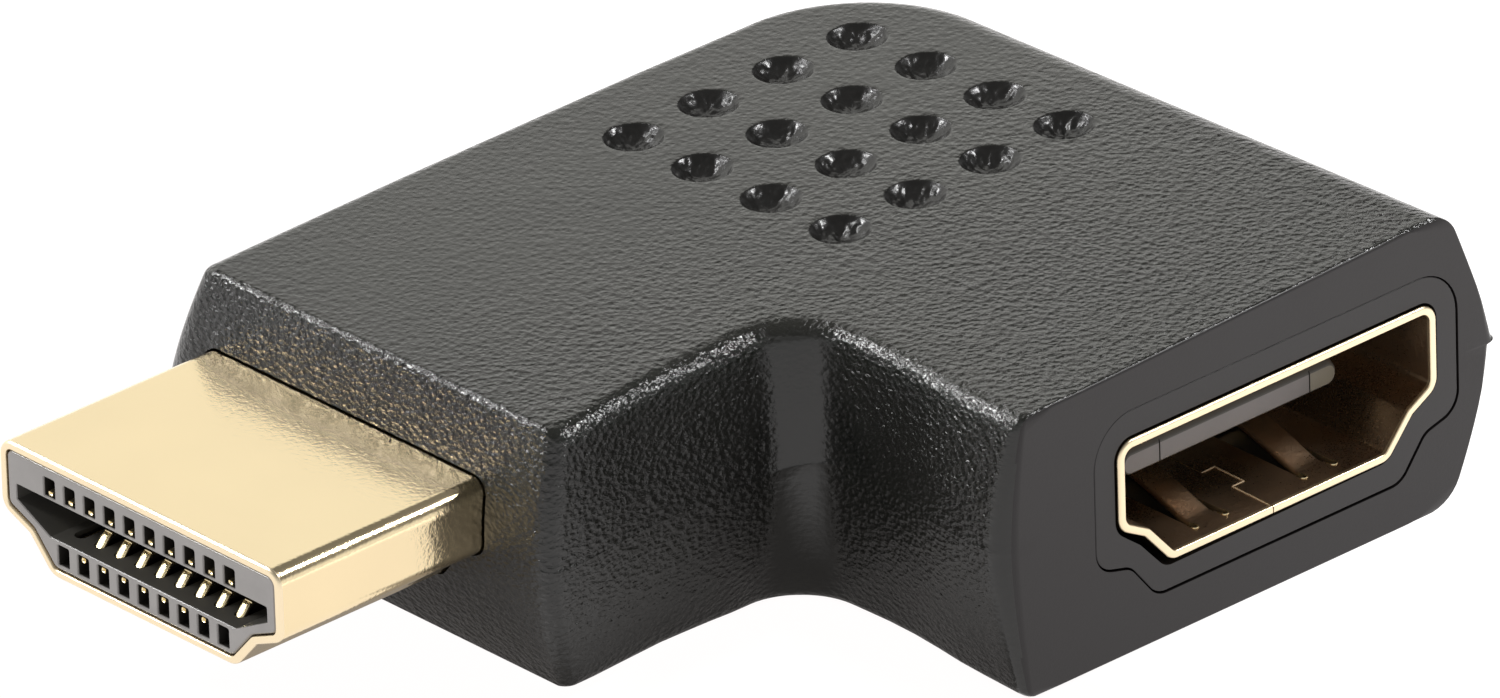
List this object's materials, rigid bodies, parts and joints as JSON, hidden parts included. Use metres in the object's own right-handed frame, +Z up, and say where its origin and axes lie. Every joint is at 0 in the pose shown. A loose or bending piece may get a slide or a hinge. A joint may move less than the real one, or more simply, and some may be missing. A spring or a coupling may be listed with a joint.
{
  "type": "right angle video adapter",
  "caption": "Flat right angle adapter: a stepped multi-contact plug on one arm and the matching socket in the side of the other, in a black moulded body with a dimpled elbow.",
  "frame": {"origin": "centre of the bounding box's underside, on the plane that the part rests on", "axes": "+Y from the plug towards the elbow, so the plug points along -Y; +X is the way the socket faces; +Z up, towards the wide side of both connectors"},
  "size_m": [0.0306, 0.0426, 0.0108],
  "materials": {
    "overmould": "black flexible moulding with a fine leather grain",
    "bezel": "black, smooth and matt",
    "gold_shell": "satin gold plate on folded sheet metal",
    "insulator": "grey moulded plastic, satin",
    "contact": "bright gold plate on spring strip",
    "board": "green solder mask"
  },
  "bodies": {
    "root": {"overmould": "overmould", "inner_mould": "bezel", "plug_shell": "gold_shell", "plug_insulator": "insulator", "plug_contact_01": "contact", "plug_contact_02": "contact", "plug_contact_03": "contact", "plug_contact_04": "contact", "plug_contact_05": "contact", "plug_contact_06": "contact", "plug_contact_07": "contact", "plug_contact_08": "contact", "plug_contact_09": "contact", "plug_contact_10": "contact", "plug_contact_11": "contact", "plug_contact_12": "contact", "plug_contact_13": "contact", "plug_contact_14": "contact", "plug_contact_15": "contact", "plug_contact_16": "contact", "plug_contact_17": "contact", "plug_contact_18": "contact", "plug_contact_19": "contact", "socket_shell": "gold_shell", "socket_insulator": "insulator", "socket_contact_01": "contact", "socket_contact_02": "contact", "socket_contact_03": "contact", "socket_contact_04": "contact", "socket_contact_05": "contact", "socket_contact_06": "contact", "socket_contact_07": "contact", "socket_contact_08": "contact", "socket_contact_09": "contact", "socket_contact_10": "contact", "socket_contact_11": "contact", "socket_contact_12": "contact", "socket_contact_13": "contact", "socket_contact_14": "contact", "socket_contact_15": "contact", "socket_contact_16": "contact", "socket_contact_17": "contact", "socket_contact_18": "contact", "socket_contact_19": "contact", "circuit_board": "board"}
  },
  "joints": []
}
